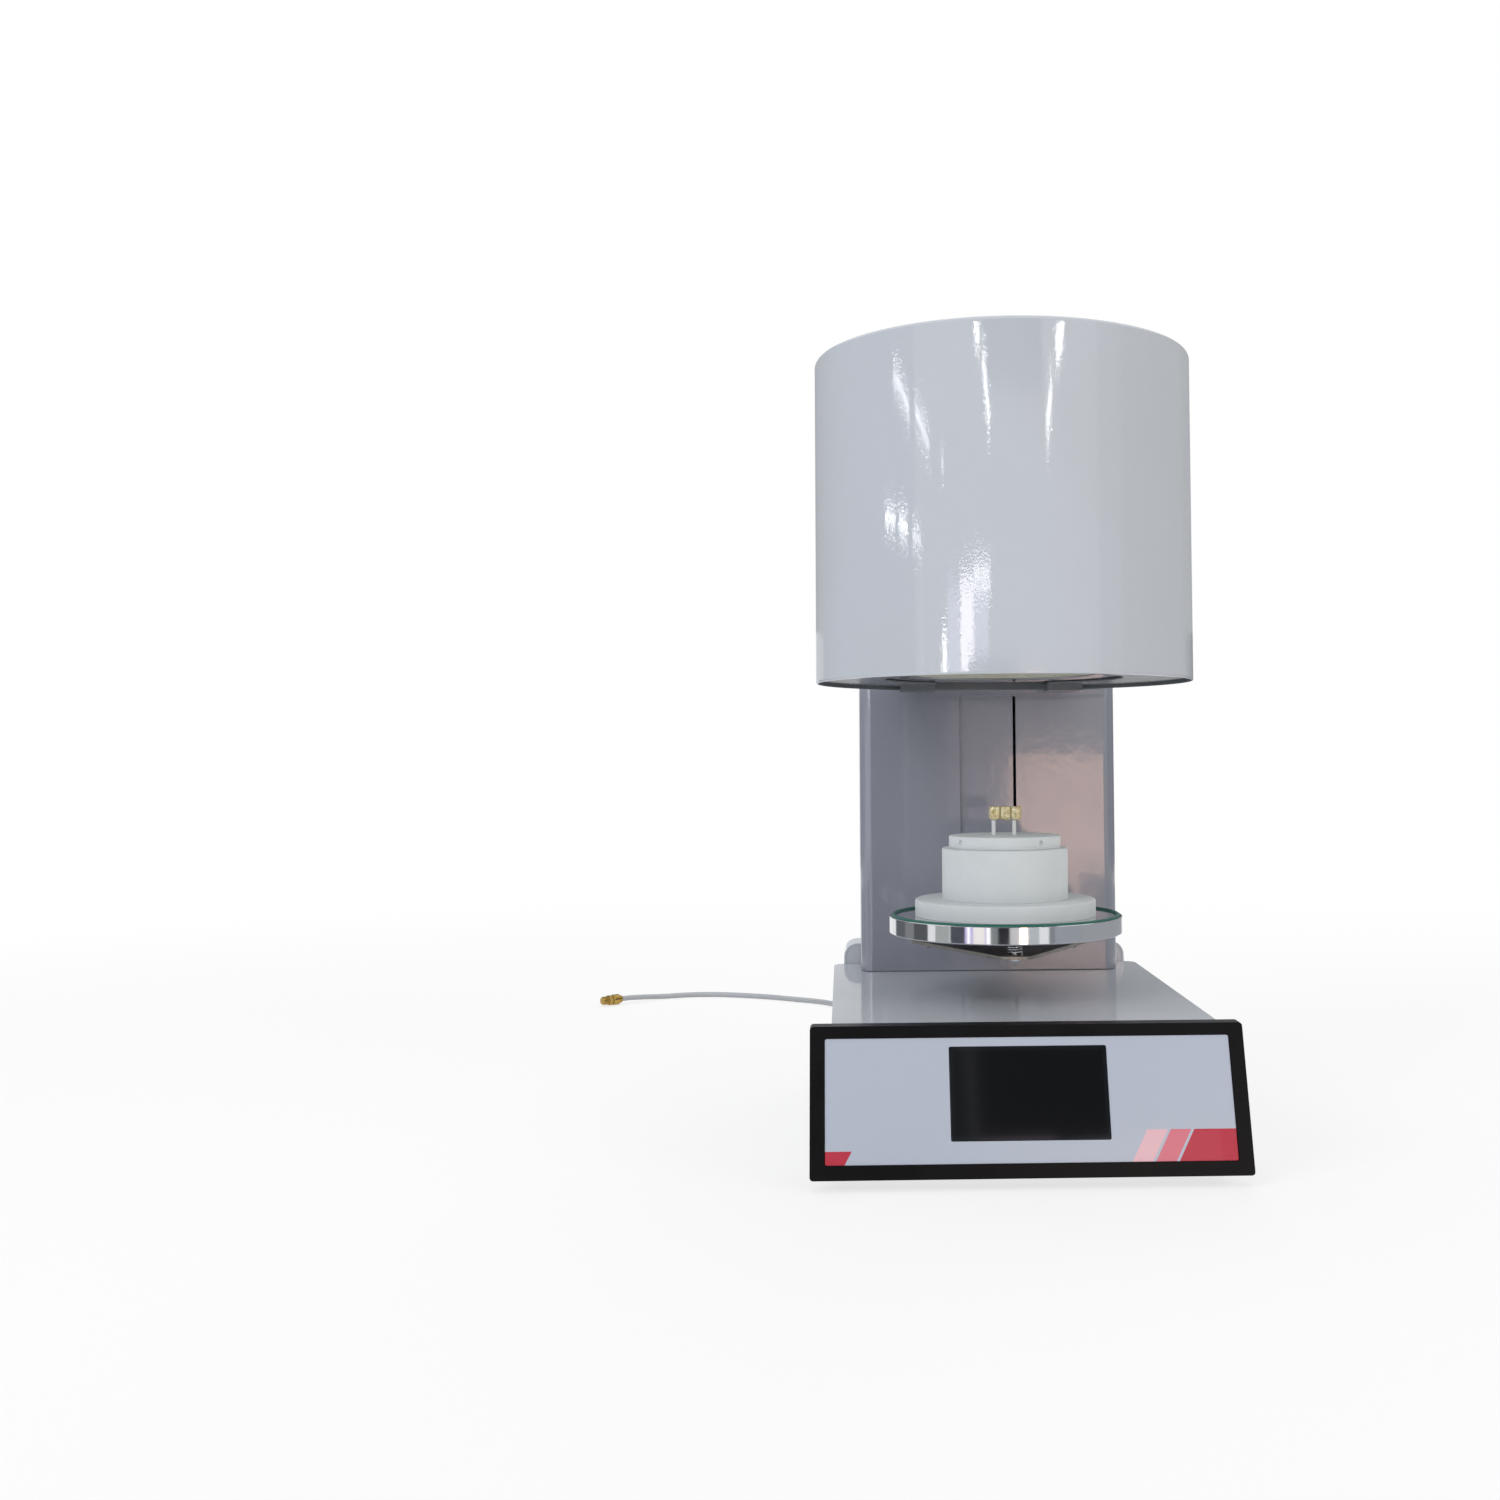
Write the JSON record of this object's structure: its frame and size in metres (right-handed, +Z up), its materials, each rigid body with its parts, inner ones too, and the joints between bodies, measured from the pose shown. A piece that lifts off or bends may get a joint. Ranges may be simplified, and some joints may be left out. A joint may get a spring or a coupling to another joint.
{
  "type": "dental lab furnace",
  "caption": "Table-top dental porcelain furnace: fixed round firing head on a rear column, over a motor lift that raises the firing table into it.",
  "frame": {"origin": "on the table top, under the middle of the furnace's base", "axes": "+Z up, the control front faces -Y, +X to the right as seen from the front"},
  "size_m": [0.5628, 0.8545, 0.599],
  "materials": {
    "white_enamel": "white-grey gloss enamel",
    "grey_enamel": "blue-grey gloss enamel",
    "black_abs": "moulded, satin",
    "printed_overlay": "printed film behind a clear face",
    "screen_glass": "polished glass over a dark display",
    "machined_aluminium": "turned and milled, bright",
    "steel": "ground",
    "zinc_sheet": "zinc-plated sheet",
    "brass": "turned",
    "spring_steel": "polished wire",
    "teal_silicone": "moulded, satin",
    "ceramic_fibre": "matte, fine-pored",
    "alumina": "matte",
    "muffle_fibre": "matte, cream",
    "zirconia": "yellow, translucent",
    "quartz": "smooth",
    "rubber": "matte",
    "polyurethane": "extruded, satin",
    "black_nylon": "moulded",
    "circuit_board": "solder-masked"
  },
  "bodies": {
    "base": {"base_pan": "zinc_sheet", "column_back": "grey_enamel", "column_front": "grey_enamel", "control_board": "circuit_board", "deck_cover": "white_enamel", "fan_frame": "black_nylon", "foot_front_left": "rubber", "foot_front_right": "rubber", "foot_rear_left": "rubber", "foot_rear_right": "rubber", "front_bezel": "black_abs", "guide_rod_left": "steel", "guide_rod_right": "steel", "head_bottom_plate": "white_enamel", "head_shell": "white_enamel", "heating_muffle": "quartz", "hose_coil": "polyurethane", "hose_fitting": "brass", "hose_port_run": "polyurethane", "hose_pump_run": "polyurethane", "lift_motor": "black_nylon", "mains_inlet": "black_nylon", "mast_foot_plate": "steel", "mast_head_plate": "steel", "muffle_lining": "muffle_fibre", "muffle_roof": "muffle_fibre", "overlay_panel": "printed_overlay", "power_supply": "zinc_sheet", "pump_outlet": "black_nylon", "rear_housing": "white_enamel", "sealing_flange": "machined_aluminium", "switch_frame": "black_nylon", "thermocouple": "alumina", "touch_screen": "screen_glass", "vacuum_can": "steel", "vacuum_port": "brass"},
    "screw": {"lead_screw": "steel", "screw_coupler": "machined_aluminium"},
    "lift": {"lift_carriage": "machined_aluminium", "screw_nut": "brass", "lift_arm": "machined_aluminium", "slot_cover": "grey_enamel", "levelling_plate": "steel", "levelling_spring_front": "spring_steel", "levelling_spring_left": "spring_steel", "levelling_spring_right": "spring_steel"},
    "platform": {"lift_platform": "machined_aluminium", "platform_seal": "teal_silicone", "levelling_screw_front": "steel", "levelling_screw_left": "steel", "levelling_screw_right": "steel", "ceramic_base_disc": "ceramic_fibre", "insulation_plug": "ceramic_fibre"},
    "tray": {"firing_tray": "ceramic_fibre", "firing_pin_left": "alumina", "firing_pin_right": "alumina"},
    "bridge": {"sample_bridge": "zirconia"},
    "rocker": {"switch_rocker": "black_abs"},
    "fan": {"fan_rotor": "black_nylon"}
  },
  "joints": [
    {"name": "lift_slide", "type": "slide", "parent": "base", "child": "lift", "axis": [0, 0, 1], "range_m": [0, 0.184]},
    {"name": "screw_turn", "type": "hinge", "parent": "base", "child": "screw", "pos_m": [0, 0.128, 0.3], "axis": [0, 0, -1], "range_deg": [0, 8290]},
    {"name": "platform_float", "type": "slide", "parent": "lift", "child": "platform", "axis": [0, 0, 1], "range_m": [-0.003, 0], "stiffness_N_per_m": 6000, "springref_m": 0.008, "deforming": ["levelling_spring_front", "levelling_spring_left", "levelling_spring_right"]},
    {"name": "tray_lift", "type": "slide", "parent": "platform", "child": "tray", "axis": [0, 0, 1], "range_m": [0, 0.02]},
    {"name": "bridge_lift", "type": "slide", "parent": "tray", "child": "bridge", "axis": [0, 0, 1], "range_m": [0, 0.012]},
    {"name": "mains_rocker", "type": "hinge", "parent": "base", "child": "rocker", "pos_m": [0.018, 0.1965, 0.052], "axis": [1, 0, 0], "range_deg": [0, 16]},
    {"name": "fan_spin", "type": "hinge", "parent": "base", "child": "fan", "pos_m": [0.078, 0.185, 0.062], "axis": [0, 1, 0], "continuous": true}
  ],
  "couplings": [
    {"joint": "screw_turn", "follows": "lift_slide", "rad_per_m": 785.4}
  ]
}
